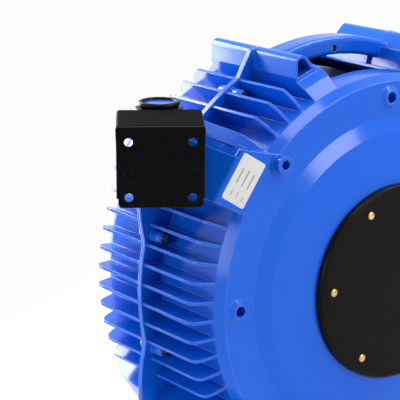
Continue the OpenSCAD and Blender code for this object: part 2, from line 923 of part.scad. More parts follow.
module rating_plate() {
  color("white") in_case()
    rotate([0, 0, lug_mid])
      translate([ring_r, 0, -ring_w])
        rotate([0, -cheek_lean, 0])
          translate([label_in, label_up - label_l / 2, -label_t - cheek_bend * (1 - cos(cheek_lean))])
            cube([label_w, label_l, label_t]);
}

// ---- pivot ----

module wall_bracket() {
  top = plate_rise;
  foot = plate_rise - plate_h;
  half_foot = plate_w / 2 - plate_taper / 2;
  arm_y = -stand_off + arm_gap;
  arm_x = plate_w / 2 - 0.5;
  c = plate_corner;
  color(black) {
    difference() {
      rotate([90, 0, 0])
        linear_extrude(sheet_t) {
          polygon([[-plate_w / 2, top - sheet_t], [plate_w / 2, top - sheet_t],
            [half_foot, foot + c], [half_foot - c, foot], [c - half_foot, foot],
            [-half_foot, foot + c]]);
          for (s = [-1, 1])
            translate([s * (half_foot - c), foot + c])
              circle(r = c);
        }
      for (sx = [-1, 1], sz = [-1, 1])
        translate([sx * bolt_dx / 2, 1, sz * bolt_dz / 2])
          rotate([90, 0, 0])
            cylinder(r = bolt_r, h = sheet_t + 2);
    }
    intersection() {
      translate([0, 1, 0])
        rotate([90, 0, 0])
          linear_extrude(1 - arm_y)
            channel_section(arm_x, top);
      translate([-arm_x - 1, 0, 0])
        rotate([90, 0, 90])
          linear_extrude(2 * arm_x + 2) {
            polygon([[-sheet_t, top], [-sheet_t, top - sheet_t - cheek_root],
              [-sheet_t - 6, top - sheet_t - cheek_root], [arm_y, top - sheet_t - cheek_tip],
              [arm_y, top]]);
            fold_end(top);
          }
    }
  }
}

// section of the arm and its two cheeks, bent down with the sheet's thickness as outer radius
module channel_section(half, top) {
  difference() {
    union() {
      translate([-half, top - sheet_t - cheek_root - 1])
        square([2 * half, cheek_root + 1]);
      translate([sheet_t - half, top - sheet_t])
        square([2 * (half - sheet_t), sheet_t]);
      for (s = [-1, 1])
        translate([s * (half - sheet_t), top - sheet_t])
          circle(r = sheet_t);
    }
    translate([sheet_t - half, top - sheet_t - cheek_root - 2])
      square([2 * (half - sheet_t), cheek_root + 2]);
  }
}

// side view of the fold between the wall plate and the arm
module fold_end(top) {
  intersection() {
    translate([-sheet_t, top - sheet_t])
      circle(r = sheet_t);
    translate([-sheet_t, top - sheet_t])
      square(sheet_t);
  }
}

module bracket_webs() {
  half = web_x + sheet_t / 2;
  reach = sqrt(tube_r * tube_r - (web_x - sheet_t / 2) * (web_x - sheet_t / 2));
  z_low = tube_z0 - axle_drop + 5;
  z_high = tube_z1 - axle_drop - 2;
  color(black)
    difference() {
      for (s = [-1, 1])
        translate([s * web_x - sheet_t / 2, 0, 0])
          rotate([90, 0, 90])
            linear_extrude(sheet_t)
              polygon([[-sheet_t, plate_rise - sheet_t], [-sheet_t, z_low - 16],
                [-sheet_t - 12, z_low - 16], [reach - stand_off + 8, z_low],
                [reach - stand_off - 8, z_low], [reach - stand_off - 8, z_high],
                [arm_gap - stand_off, z_high],
                [arm_gap - stand_off, plate_rise - sheet_t]]);
      in_bracket_pivot()
        cylinder(r = tube_r, h = 300);
    }
}

module pivot_tube() {
  color(black) in_bracket_pivot()
    translate([0, 0, tube_z0])
      ring(tube_r, tube_r - tube_wall, tube_h);
}

module swivel_bush() {
  difference() {
    union() {
      cylinder(r = tube_r - tube_wall, h = bush_len);
      translate([0, 0, bush_len])
        cylinder(r = tube_r - 1, h = bush_flange);
    }
    translate([0, 0, -1])
      cylinder(r = post_r + post_fit, h = bush_len + bush_flange + 2);
  }
}

module swivel_bush_top() {
  color("dimgray") in_bracket_pivot()
    translate([0, 0, tube_z1 - bush_len])
      swivel_bush();
}

module swivel_bush_bottom() {
  color("dimgray") in_bracket_pivot()
    translate([0, 0, tube_z0 + bush_len])
      mirror([0, 0, 1])
        swivel_bush();
}

module pivot_post() {
  color(blue) in_case() in_pivot()
    difference() {
      union() {
        translate([0, 0, foot_z])
          cylinder(r = foot_r, h = foot_h);
        translate([0, 0, foot_z])
          cylinder(r = post_r, h = post_top - foot_z);
      }
      translate([-foot_r - 1, 0, collar_pin_z])
        rotate([0, 90, 0])
          cylinder(r = collar_pin_r + eps * 5, h = 2 * foot_r + 2);
      translate([0, 0, foot_z - 1])
        cylinder(r = post_r - 6, h = post_bore_h);
    }
}

module swivel_collar() {
  color(black) in_case() in_pivot()
    difference() {
      rotate_extrude() {
        difference() {
          union() {
            polygon([[0, collar_z], [tube_r + 0.6, collar_z], [tube_r + 0.6, collar_z + 1.4],
              [collar_neck, collar_z + 3.2], [collar_neck, collar_top - bead_r],
              [0, collar_top - bead_r]]);
            translate([collar_r - bead_r, collar_top - bead_r])
              circle(r = bead_r);
          }
          translate([0, collar_z - 1])
            square([post_r + post_fit, 20]);
        }
      }
      translate([-30, 0, collar_pin_z])
        rotate([0, 90, 0])
          cylinder(r = collar_pin_r + eps * 5, h = 60);
    }
}

module collar_pin() {
  color("silver") in_case() in_pivot()
    translate([-collar_neck, 0, collar_pin_z])
      rotate([0, 90, 0])
        cylinder(r = collar_pin_r, h = 2 * collar_neck);
}

// ---- axle and drum ----

module axle() {
  half = floor_w + 12;
  color("silver") in_case()
    translate([0, 0, -half])
      ring(axle_r, axle_bore, 2 * half);
}

module axle_washers() {
  color("silver") in_case()
    for (s = [0, 1])
      mirror([0, 0, s])
        translate([0, 0, floor_w])
          ring(axle_r + 10, axle_r + screw_gap, 2);
}

module axle_nuts() {
  color("silver") in_case()
    for (s = [0, 1])
      mirror([0, 0, s])
        translate([0, 0, floor_w + 2])
          difference() {
            cylinder(r = 1.66 * axle_r, h = 8, $fn = 6);
            translate([0, 0, -1])
              cylinder(r = axle_r, h = 10);
          }
}

module spring_arbor() {
  color("silver") in_case() left_side()
    translate([0, 0, flange_w + 4])
      ring(arbor_r, axle_r, spring_w - 6);
}

module drum_core() {
  color("dimgray") in_case()
    difference() {
      translate([0, 0, -drum_w])
        ring(core_r, core_r - core_t, 2 * drum_w);
      rotate([0, 0, clamp_a])
        translate([0, 0, 30])
          rotate([0, 90, 0])
            cylinder(r = 7, h = core_r + 5);
      clamp_holes();
    }
}

module flange_disc(is_right) {
  difference() {
    union() {
      translate([0, 0, drum_w])
        cylinder(r = flange_r - flange_t / 2, h = flange_t);
      translate([0, 0, drum_w + flange_t / 2])
        rotate_extrude()
          translate([flange_r - flange_t / 2, 0])
            circle(r = flange_t / 2);
      translate([0, 0, drum_w - bush_in])
        cylinder(r = bush_r + 9, h = bush_in + flange_t);
    }
    translate([0, 0, drum_w - 20])
      cylinder(r = bush_r, h = 40);
    tie_places()
      translate([0, 0, drum_w - 5]) {
        cylinder(r = tie_r + screw_gap, h = 20);
        if (is_right)
          translate([0, 0, 5 + flange_t - tie_head_h])
            cylinder(r1 = tie_r + screw_gap, r2 = tie_head + screw_gap, h = tie_head_h);
      }
    if (is_right)
      translate([slip_r - 8, 0, drum_w - 5])
        cylinder(r = 3, h = 20);
  }
}

module drum_flange_left() {
  color("gray") in_case() left_side() flange_disc(false);
}

module drum_flange_right() {
  color("gray") in_case() flange_disc(true);
}

module drum_bushes() {
  color("tan") in_case()
    for (s = [0, 1])
      mirror([0, 0, s])
        difference() {
          union() {
            translate([0, 0, drum_w - bush_in])
              cylinder(r = bush_r, h = bush_in + flange_t);
            translate([0, 0, flange_w])
              cylinder(r = bush_r + 3, h = 2);
          }
          translate([0, 0, drum_w - 20])
            cylinder(r = axle_r + axle_fit, h = 40);
        }
}

module tie_places() {
  for (i = [0 : 5])
    rotate([0, 0, 30 + 60 * i])
      translate([tie_at, 0, 0])
        children();
}

module drum_bolts() {
  color("silver") in_case()
    tie_places() {
      translate([0, 0, flange_w - tie_head_h])
        cylinder(r1 = tie_r, r2 = tie_head, h = tie_head_h);
      translate([0, 0, -tie_end])
        cylinder(r = tie_r, h = tie_end + flange_w - tie_head_h);
    }
}

module drum_nuts() {
  color("silver") in_case()
    tie_places()
      translate([0, 0, -tie_end])
        difference() {
          cylinder(r = tie_r + 2.1, h = tie_nut_h, $fn = 6);
          translate([0, 0, -1])
            cylinder(r = tie_r, h = tie_nut_h + 2);
        }
}

module clamp_holes() {
  rotate([0, 0, clamp_a])
    for (s = [-1, 1])
      translate([0, s * clamp_dx, 0])
        rotate([0, 90, 0])
          cylinder(r = screw_r + screw_gap, h = core_r + 20);
}

module cord_clamp() {
  color("gray") in_case()
    difference() {
      rotate([0, 0, clamp_a])
        intersection() {
          translate([core_r - 10, -20, -8])
            cube([17, 40, 16]);
          difference() {
            translate([0, 0, -8])
              cylinder(r = core_r + 5, h = 16);
            translate([0, 0, -9])
              cylinder(r = core_r, h = 18);
          }
        }
      rotate([0, 0, clamp_a])
        translate([core_r + 1, 0, -10])
          cylinder(r = 6.5, h = 20);
      clamp_holes();
    }
}

module clamp_screws() {
  color("silver") in_case()
    rotate([0, 0, clamp_a])
      for (s = [-1, 1])
        translate([0, s * clamp_dx, 0])
          rotate([0, 90, 0]) {
            translate([0, 0, core_r - core_t - 5])
              cylinder(r = screw_r, h = 14);
            translate([0, 0, core_r + 5])
              cylinder(r = screw_head, h = 2);
          }
}

// ---- spring motor ----

module spring_housing() {
  color("slategray") in_case() left_side()
    translate([0, 0, flange_w])
      difference() {
        cylinder(r = spring_r, h = spring_w);
        translate([0, 0, spring_wall])
          cylinder(r = spring_r - spring_wall, h = spring_w);
        translate([0, 0, -1])
          cylinder(r = hub_bore, h = 10);
        tie_places()
          translate([0, 0, -1])
            cylinder(r = tie_r + screw_gap, h = 10);
      }
}

module spring_lid() {
  color("slategray") in_case() left_side()
    translate([0, 0, flange_w + spring_w])
      ring(spring_r, arbor_r + 2, spring_wall);
}

// spiral of half rings: the lower halves are centred half a pitch to one side
module mainspring() {
  r_in = arbor_r + 4;
  r_end = spring_r - spring_wall;
  pitch = (r_end - r_in - strip_t) / spring_turns;
  color("lightsteelblue") in_case() left_side()
    translate([0, 0, flange_w + spring_wall + 2.5])
      linear_extrude(strip_w) {
        for (i = [0 : spring_turns])
          half_ring(r_in + strip_t + pitch * i, 0, 1);
        for (i = [0 : spring_turns - 1])
          half_ring(r_in + strip_t + pitch * (i + 0.5), pitch / 2, -1);
      }
}

module half_ring(r, shift, side) {
  translate([shift, 0])
    intersection() {
      difference() {
        circle(r = r);
        circle(r = r - strip_t);
      }
      translate([-r - 1, side > 0 ? -eps : -r - 1])
        square([2 * r + 2, r + 1 + eps]);
    }
}

// ---- ratchet ----

module ratchet_wheel() {
  root = ratchet_tip - tooth_h;
  color("silver") in_case()
    translate([0, 0, flange_w])
      difference() {
        linear_extrude(ratchet_w)
          polygon([for (i = [0 : teeth - 1], k = [0, 1])
            on_circle(k == 0 ? root : ratchet_tip, (i + k) * tooth_step - (k == 1 ? 0.001 : 0))]);
        translate([0, 0, -1])
          cylinder(r = hub_bore, h = ratchet_w + 2);
      }
}

module in_pawl() {
  translate([pawl_at.x, pawl_at.y, flange_w + 1])
    rotate([0, 0, pawl_lift])
      translate([-pawl_at.x, -pawl_at.y, 0])
        children();
}

module pawl() {
  root = ratchet_tip - tooth_h;
  color("silver") in_case() in_pawl()
    difference() {
      union() {
        linear_extrude(6)
          polygon([[-0.8, root + 1.6], [-0.8, root + 9], pawl_at + [1, 9], pawl_at + [7, 2],
            [-20, root + 8], [-6, root + 3.2]]);
        translate([pawl_at.x, pawl_at.y, 0])
          cylinder(r = 9, h = 6);
      }
      translate([pawl_at.x, pawl_at.y, -1])
        cylinder(r = pawl_pin_r, h = 8);
    }
}

module pawl_pin() {
  w0 = flange_w + 1;
  color("gray") in_case()
    translate([pawl_at.x, pawl_at.y, 0]) {
      translate([0, 0, w0 - 0.4])
        cylinder(r = pawl_pin_r - 0.05, h = 8);
      translate([0, 0, w0 + 6 + face_gap])
        cylinder(r = pawl_pin_r + 2, h = floor_w - wall - w0 - 6 - face_gap);
      translate([0, 0, floor_w - wall - 1])
        cylinder(r = pawl_pin_r, h = wall + 1);
    }
}

module pawl_spring() {
  w0 = flange_w + 8;
  coil_r = pawl_pin_r + 2 + 0.9;
  color("silver") in_case()
    translate([pawl_at.x, pawl_at.y, 0]) {
      for (i = [0 : 5])
        translate([0, 0, w0 + 1 + 1.1 * i])
          rotate_extrude()
            translate([coil_r, 0])
              circle(r = 0.7);
      translate([coil_r, 0, w0 + 6.5])
        cylinder(r = 0.7, h = floor_w - wall - w0 - 6.5);
    }
}

// ---- supply ----

module slip_ring_hub() {
  color("saddlebrown") in_case()
    translate([0, 0, flange_w + ratchet_w])
      difference() {
        union() {
          cylinder(r = slip_r, h = hub_len);
          cylinder(r = slip_out + 1.5, h = 3);
          for (i = [1, 2])
            translate([0, 0, 4 + slip_step * i - 1])
              cylinder(r = slip_out + 1.5, h = 2);
        }
        translate([0, 0, -1])
          cylinder(r = hub_bore, h = hub_len + 2);
      }
}

module slip_rings() {
  color("goldenrod") in_case()
    for (i = [0 : 2])
      translate([0, 0, flange_w + ratchet_w + 4 + slip_step * (i + 0.5) - slip_w / 2])
        ring(slip_out, slip_r, slip_w);
}

module brush_places() {
  rotate([0, 0, brush_a])
    for (i = [0 : 2])
      translate([0, 0, flange_w + ratchet_w + 4 + slip_step * (i + 0.5)])
        children();
}

module brush_holder() {
  w0 = flange_w + ratchet_w + 3.5;
  color("saddlebrown") in_case()
    difference() {
      rotate([0, 0, brush_a])
        translate([slip_out + 4, -holder_t / 2, w0])
          cube([holder_l, holder_t, floor_w - wall - w0]);
      brush_places()
        translate([slip_out - 5, -brush_t / 2 - brush_fit, -brush_w / 2 - brush_fit])
          cube([holder_l, brush_t + 2 * brush_fit, brush_w + 2 * brush_fit]);
    }
}

module brushes() {
  color("black") in_case()
    brush_places()
      translate([slip_out + brush_gap, -brush_t / 2, -brush_w / 2])
        cube([holder_l - 6, brush_t, brush_w]);
}

module terminal_block() {
  color("ivory") in_case()
    translate([-22, 48, floor_w])
      difference() {
        cube([44, 16, 12]);
        for (i = [0 : 2])
          translate([8 + 14 * i, 8, 4])
            cylinder(r = 3.5, h = 10);
      }
}

module inlet_gland() {
  color(black) in_case()
    translate([0, -gland_at, 0])
      difference() {
        union() {
          translate([0, 0, hub_w - 4])
            cylinder(r = gland_r, h = cover_h + 5.5);
          translate([0, 0, cover_w + cover_crown])
            cylinder(r = gland_r + 4, h = 6, $fn = 6);
          translate([0, 0, cover_w + cover_crown + 6])
            cylinder(r1 = gland_r + 2.5, r2 = gland_r, h = 14);
        }
        translate([0, 0, hub_w - 5])
          cylinder(r = gland_bore, h = 60);
      }
}

module gland_nut() {
  color(black) in_case()
    translate([0, -gland_at, cover_w - cover_t - 4])
      difference() {
        cylinder(r = gland_r + 4, h = 4, $fn = 6);
        translate([0, 0, -1])
          cylinder(r = gland_r, h = 6);
      }
}

// ---- cable mouth ----

module mouth_frame() {
  color(black) in_case() at_mouth()
    difference() {
      translate([mouth_seat, -mouth_t_out, -mouth_w_out])
        cube([mouth_d, 2 * mouth_t_out, 2 * mouth_w_out]);
      translate([mouth_seat - 1, -mouth_t, -mouth_w])
        cube([mouth_d + 2, 2 * mouth_t, 2 * mouth_w]);
      for (s = [-1, 1]) {
        translate([roller_d1, s * roller_t, -mouth_w_out + 4])
          cylinder(r = roller_pin, h = 2 * mouth_w_out - 8);
        translate([roller_d2, -mouth_t_out + 3, s * roller_x])
          rotate([-90, 0, 0])
            cylinder(r = roller_pin, h = 2 * mouth_t_out - 6);
      }
      for (sx = [-1, 1], st = [-1, 1])
        translate([mouth_seat - 1, st * (mouth_screw_t), sx * (mouth_screw_w)])
          rotate([0, 90, 0])
            cylinder(r = screw_r + screw_gap, h = mouth_d + 2);
    }
}

module mouth_screws() {
  color("silver") in_case()
    for (s = [0, 1])
      mirror([0, 0, s])
        mouth_screw_places() {
          translate([0, 0, mouth_d])
            cylinder(r = screw_head, h = 2.5);
          translate([0, 0, -10])
            cylinder(r = screw_r, h = mouth_d + 10);
        }
}

module roller_pins() {
  color("silver") in_case() at_mouth()
    for (s = [-1, 1]) {
      translate([roller_d1, s * roller_t, -mouth_w_out + 4])
        cylinder(r = roller_pin, h = 2 * mouth_w_out - 8);
      translate([roller_d2, -mouth_t_out + 3, s * roller_x])
        rotate([-90, 0, 0])
          cylinder(r = roller_pin, h = 2 * mouth_t_out - 6);
    }
}

module long_roller(s) {
  h = 2 * mouth_w - 2 * face_gap;
  color("lightgray") in_case() at_mouth()
    translate([roller_d1, s * roller_t, -h / 2])
      ring(roller_r, roller_pin + roller_fit, h);
}

module short_roller(s) {
  h = 2 * mouth_t - 2 * face_gap;
  color("lightgray") in_case() at_mouth()
    translate([roller_d2, -h / 2, s * roller_x])
      rotate([-90, 0, 0])
        ring(roller_r, roller_pin + roller_fit, h);
}

module roller_top() {
  long_roller(-1);
}

module roller_bottom() {
  long_roller(1);
}

module roller_left() {
  short_roller(-1);
}

module roller_right() {
  short_roller(1);
}

wall_bracket();
bracket_webs();
pivot_tube();
swivel_bush_top();
swivel_bush_bottom();
case_left();
case_right();
case_screws();
pivot_post();
swivel_collar();
collar_pin();
rating_plate();
hub_cover_left();
hub_cover_right();
cover_screws();
axle();
axle_washers();
axle_nuts();
spring_arbor();
drum_core();
drum_flange_left();
drum_flange_right();
drum_bushes();
drum_bolts();
drum_nuts();
cord_clamp();
clamp_screws();
spring_housing();
spring_lid();
mainspring();
ratchet_wheel();
pawl();
pawl_pin();
pawl_spring();
slip_ring_hub();
slip_rings();
brush_holder();
brushes();
terminal_block();
inlet_gland();
gland_nut();
mouth_frame();
mouth_screws();
roller_pins();
roller_top();
roller_bottom();
roller_left();
roller_right();
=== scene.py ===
import json
import math

import bmesh
import bpy
from mathutils import Matrix, Vector


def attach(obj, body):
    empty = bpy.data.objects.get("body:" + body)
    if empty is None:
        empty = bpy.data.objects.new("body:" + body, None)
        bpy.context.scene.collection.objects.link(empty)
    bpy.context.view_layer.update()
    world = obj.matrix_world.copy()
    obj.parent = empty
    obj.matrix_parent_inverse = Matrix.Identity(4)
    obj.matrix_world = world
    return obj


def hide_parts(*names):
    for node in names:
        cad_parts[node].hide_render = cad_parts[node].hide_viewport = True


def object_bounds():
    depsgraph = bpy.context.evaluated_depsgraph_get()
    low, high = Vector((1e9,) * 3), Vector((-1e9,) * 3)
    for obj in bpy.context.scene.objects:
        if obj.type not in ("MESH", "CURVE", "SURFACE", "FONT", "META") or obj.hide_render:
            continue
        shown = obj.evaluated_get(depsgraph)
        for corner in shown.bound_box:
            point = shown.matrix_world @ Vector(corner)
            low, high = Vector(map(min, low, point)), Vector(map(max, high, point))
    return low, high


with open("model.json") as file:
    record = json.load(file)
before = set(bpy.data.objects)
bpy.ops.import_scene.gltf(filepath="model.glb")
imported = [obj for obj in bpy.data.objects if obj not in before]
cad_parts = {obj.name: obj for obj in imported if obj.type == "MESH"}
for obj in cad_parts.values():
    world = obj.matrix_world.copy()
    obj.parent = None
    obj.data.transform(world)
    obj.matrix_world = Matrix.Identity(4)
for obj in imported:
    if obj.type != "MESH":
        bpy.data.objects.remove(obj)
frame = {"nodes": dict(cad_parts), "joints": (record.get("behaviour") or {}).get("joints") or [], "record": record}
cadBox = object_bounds()
cadNodes = frame["nodes"]
print("frame loaded with", len(cadNodes), "nodes")


def addMesh(name, bm):
    mesh = bpy.data.meshes.new(name)
    bm.to_mesh(mesh)
    bm.free()
    piece = bpy.data.objects.new(name, mesh)
    bpy.context.scene.collection.objects.link(piece)
    return piece


def newMaterial(name):
    material = bpy.data.materials.new(name)
    material.use_nodes = True
    material.node_tree.nodes.clear()
    return material


def feed(tree, value, socket):
    # another node's socket is linked, and a number or a colour of three shares is set
    if isinstance(value, bpy.types.NodeSocket):
        tree.links.new(value, socket)
    elif socket.type == "RGBA":
        socket.default_value = (*value, 1)
    else:
        socket.default_value = value


def addNode(tree, kind, inputs=None, **settings):
    node = tree.nodes.new(kind)
    for key, value in settings.items():
        setattr(node, key, value)
    for key, value in (inputs or {}).items():
        feed(tree, value, node.inputs[key])
    return node


def addMath(tree, operation, first, second):
    return addNode(tree, "ShaderNodeMath", {0: first, 1: second}, operation=operation).outputs[0]


mixSockets = {"FLOAT": (2, 3, 0), "RGBA": (6, 7, 2)}    # a Mix node's two values and its result


def addMix(tree, kind, factor, first, second):
    firstInput, secondInput, result = mixSockets[kind]
    node = addNode(tree, "ShaderNodeMix", data_type=kind)
    feed(tree, factor, node.inputs[0])
    feed(tree, first, node.inputs[firstInput])
    feed(tree, second, node.inputs[secondInput])
    return node.outputs[result]


studioView = {
    "place": (0.0216, 1.5996, 0.3790),
    "toward": (-0.0353, -0.9683, -0.2470),  # direction of the view
    "lens": 158.16,
    "sensor": 36.0,
    "farClip": 60,
}


def placeCamera(view):
    lensData = bpy.data.cameras.new("studioCamera")
    lensData.lens = view["lens"]
    lensData.sensor_width = view["sensor"]
    lensData.clip_end = view["farClip"]
    eye = bpy.data.objects.new("studioCamera", lensData)
    eye.location = view["place"]
    eye.rotation_euler = Vector(view["toward"]).to_track_quat("-Z", "Y").to_euler()
    bpy.context.scene.collection.objects.link(eye)
    bpy.context.scene.camera = eye


studioSweep = {
    "floorDrop": 0.002,     # gap between the lowest piece and the floor
    "halfWidth": 14.0,
    "front": 14.0,
    "back": -9.0,
    "bendRadius": 2.0,
    "bendSteps": 16,
    "wallHeight": 6.0,
    "paint": (0.86, 0.86, 0.87),
    "seenReach": (0.5, 3.0),    # metres from the wall mount, near the reel and far off
    "seenWhite": (0.85, 0.97),  # share of plain white that the camera sees there
}


def seenRays(tree, cameraShare=1.0):
    # camera rays by their share, and mirrored and transmitted rays in full
    rays = addNode(tree, "ShaderNodeLightPath")
    seen = addMath(tree, "MULTIPLY", rays.outputs["Is Camera Ray"], cameraShare)
    for kind in ("Is Glossy Ray", "Is Transmission Ray"):
        seen = addMath(tree, "MAXIMUM", seen, rays.outputs[kind])
    return seen


def sweepMaterial(sweep):
    material = newMaterial("paleSweep")
    tree = material.node_tree
    place = addNode(tree, "ShaderNodeTexCoord")
    away = addNode(tree, "ShaderNodeVectorMath", {0: place.outputs["Object"]}, operation="LENGTH")
    nearReach, farReach = sweep["seenReach"]
    nearWhite, farWhite = sweep["seenWhite"]
    share = addNode(tree, "ShaderNodeMapRange", {
        "Value": away.outputs["Value"], "From Min": nearReach, "From Max": farReach,
        "To Min": nearWhite, "To Max": farWhite})
    paint = addNode(tree, "ShaderNodeBsdfDiffuse", {"Color": sweep["paint"]})
    glow = addNode(tree, "ShaderNodeEmission", {"Color": (1, 1, 1)})
    mix = addNode(tree, "ShaderNodeMixShader", {
        0: seenRays(tree, share.outputs[0]), 1: paint.outputs[0], 2: glow.outputs[0]})
    addNode(tree, "ShaderNodeOutputMaterial", {"Surface": mix.outputs[0]})
    return material


def buildSweep(sweep, floorLevel):
    # floor that bends up into a backdrop behind the reel
    back, radius = sweep["back"], sweep["bendRadius"]
    profile = [(sweep["front"], floorLevel)]
    for step in range(sweep["bendSteps"] + 1):
        turn = math.radians(90 * step / sweep["bendSteps"])
        profile.append((back + radius * (1 - math.sin(turn)),
                        floorLevel + radius * (1 - math.cos(turn))))
    profile.append((back, floorLevel + sweep["wallHeight"]))
    bm = bmesh.new()
    left, right = [[bm.verts.new((side * sweep["halfWidth"], y, z)) for y, z in profile]
                   for side in (-1, 1)]
    for step in range(len(profile) - 1):
        bm.faces.new((left[step], right[step], right[step + 1], left[step + 1]))
    for face in bm.faces:
        face.smooth = True
    floor = addMesh("studioSweep", bm)
    floor.data.materials.append(sweepMaterial(sweep))


studioLamps = [
    {"name": "overheadBox", "place": (0.05, -0.10, 1.55), "aim": (-0.15, -0.2, -0.1),
     "size": (0.65, 0.65), "watts": 8.5, "tint": (1.0, 0.99, 0.98)},
    {"name": "keyBox", "place": (-0.93, -0.12, 1.22), "aim": (-0.15, -0.15, 0.0),
     "size": (1.35, 0.5), "watts": 17.5, "tint": (1.0, 0.99, 0.98)},
    {"name": "sideBox", "place": (-1.65, 0.92, 0.62), "aim": (-0.17, -0.2, -0.1),
     "size": (0.62, 0.75), "watts": 14.5, "tint": (1.0, 1.0, 1.0)},
    {"name": "rearBox", "place": (0.31, -0.475, 0.15), "aim": (-0.062, -0.214, 0.08),
     "size": (0.3, 0.54), "watts": 7.6, "tint": (1.0, 1.0, 1.0)},
    {"name": "rearLowBox", "place": (0.31, -0.475, -0.21), "aim": (-0.062, -0.214, 0.0),
     "size": (0.3, 0.18), "watts": 1.1, "tint": (1.0, 1.0, 1.0)},
    {"name": "fillBox", "place": (1.8, 0.9, 0.35), "aim": (0.0, -0.2, -0.15),
     "size": (0.9, 0.9), "watts": 16, "tint": (0.98, 0.99, 1.0)},
]


def hangLamps(lamps):
    for lamp in lamps:
        light = bpy.data.lights.new(lamp["name"], "AREA")
        light.shape = "RECTANGLE"
        light.size, light.size_y = lamp["size"]
        light.energy = lamp["watts"]
        light.color = lamp["tint"]
        box = bpy.data.objects.new(lamp["name"], light)
        box.location = lamp["place"]
        aim = Vector(lamp["aim"]) - Vector(lamp["place"])
        box.rotation_euler = aim.to_track_quat("-Z", "Y").to_euler()
        box.visible_camera = False
        bpy.context.scene.collection.objects.link(box)


studioSky = {
    "light": 0.52,  # strength as it lights the reel
    "seen": 1.0,    # strength as the camera, a mirror or glass shows it
}


def lightSky(sky):
    world = bpy.data.worlds.new("studioSky")
    world.use_nodes = True
    tree = world.node_tree
    tree.nodes.clear()
    strength = addMix(tree, "FLOAT", seenRays(tree), sky["light"], sky["seen"])
    back = addNode(tree, "ShaderNodeBackground", {"Color": (1, 1, 1), "Strength": strength})
    addNode(tree, "ShaderNodeOutputWorld", {"Surface": back.outputs[0]})
    bpy.context.scene.world = world


placeCamera(studioView)
buildSweep(studioSweep, cadBox[0][2] - studioSweep["floorDrop"])
hangLamps(studioLamps)
lightSky(studioSky)
bpy.context.scene.view_settings.view_transform = "Standard"
print("studio set")


def newGroup(name, takes, gives):
    # a node group with a usual value for each input
    group = bpy.data.node_groups.new(name, "ShaderNodeTree")
    for label, value in takes.items():
        socket = group.interface.new_socket(label, in_out="INPUT", socket_type="NodeSocketFloat")
        socket.default_value = value
    for label, kind in gives.items():
        group.interface.new_socket(label, in_out="OUTPUT", socket_type=kind)
    taken = group.nodes.new("NodeGroupInput").outputs
    given = group.nodes.new("NodeGroupOutput").inputs
    return group, taken, given


def useGroup(tree, group, **values):
    return addNode(tree, "ShaderNodeGroup", values, node_tree=group)


edgeEffect = {
    "samples": 6,
    "flatMatch": 0.99,  # how far the rounded normal agrees with the true one where no edge shows
    "edgeMatch": 0.82,  # and where an edge shows in full
}


def softEdgeGroup(effect):
    # rounded edge normal, and a mask of the edges themselves
    group, taken, given = newGroup("softEdge", {"Radius": 0.0006},
                                   {"Normal": "NodeSocketVector", "Edge": "NodeSocketFloat"})
    bevel = addNode(group, "ShaderNodeBevel", {"Radius": taken["Radius"]},
                    samples=effect["samples"])
    flat = addNode(group, "ShaderNodeNewGeometry")
    match = addNode(group, "ShaderNodeVectorMath",
                    {0: bevel.outputs[0], 1: flat.outputs["Normal"]}, operation="DOT_PRODUCT")
    edge = addNode(group, "ShaderNodeMapRange", {
        "Value": match.outputs["Value"],
        "From Min": effect["flatMatch"], "From Max": effect["edgeMatch"]})
    feed(group, bevel.outputs[0], given["Normal"])
    feed(group, edge.outputs[0], given["Edge"])
    return group


grainEffect = {
    "fineDetail": 3,
    "coarseDetail": 1,
    "coarseScale": 0.06,    # share of the fine texture's scale
    "swell": 0.4,           # share of the coarse texture in the height
}


def grainGroup(effect):
    # fine surface texture: a coarse swell under a fine tooth
    group, taken, given = newGroup("surfaceGrain", {"Scale": 900.0}, {"Height": "NodeSocketFloat"})
    place = addNode(group, "ShaderNodeTexCoord").outputs["Object"]
    fine = addNode(group, "ShaderNodeTexNoise", {
        "Vector": place, "Scale": taken["Scale"], "Detail": effect["fineDetail"]})
    coarseScale = addMath(group, "MULTIPLY", taken["Scale"], effect["coarseScale"])
    coarse = addNode(group, "ShaderNodeTexNoise", {
        "Vector": place, "Scale": coarseScale, "Detail": effect["coarseDetail"]})
    height = addMix(group, "FLOAT", effect["swell"], fine.outputs["Fac"], coarse.outputs["Fac"])
    feed(group, height, given["Height"])
    return group


def speckleGroup():
    # sparse round specks, such as dust or flecks in a powder coat
    group, taken, given = newGroup("specks", {"Scale": 120.0, "Size": 0.09, "Share": 0.3},
                                   {"Mask": "NodeSocketFloat"})
    place = addNode(group, "ShaderNodeTexCoord").outputs["Object"]
    cells = addNode(group, "ShaderNodeTexVoronoi", {"Vector": place, "Scale": taken["Scale"]})
    pick = addNode(group, "ShaderNodeSeparateColor", {0: cells.outputs["Color"]})
    near = addMath(group, "LESS_THAN", cells.outputs["Distance"], taken["Size"])
    some = addMath(group, "LESS_THAN", pick.outputs[0], taken["Share"])
    feed(group, addMath(group, "MULTIPLY", near, some), given["Mask"])
    return group


driftEffect = {
    "detail": 4,
    "roughness": 0.6,
    "low": 0.3,     # noise at which the change starts
    "high": 0.7,    # and at which it is whole
}


def driftGroup(effect):
    # slow change over the surface, for handling marks and uneven gloss
    group, taken, given = newGroup("drift", {"Scale": 9.0}, {"Value": "NodeSocketFloat"})
    place = addNode(group, "ShaderNodeTexCoord").outputs["Object"]
    cloud = addNode(group, "ShaderNodeTexNoise", {
        "Vector": place, "Scale": taken["Scale"],
        "Detail": effect["detail"], "Roughness": effect["roughness"]})
    spread = addNode(group, "ShaderNodeMapRange", {
        "Value": cloud.outputs["Fac"], "From Min": effect["low"], "From Max": effect["high"]})
    feed(group, spread.outputs[0], given["Value"])
    return group


softEdge = softEdgeGroup(edgeEffect)
surfaceGrain = grainGroup(grainEffect)
specks = speckleGroup()
drift = driftGroup(driftEffect)
print("surface effects built")


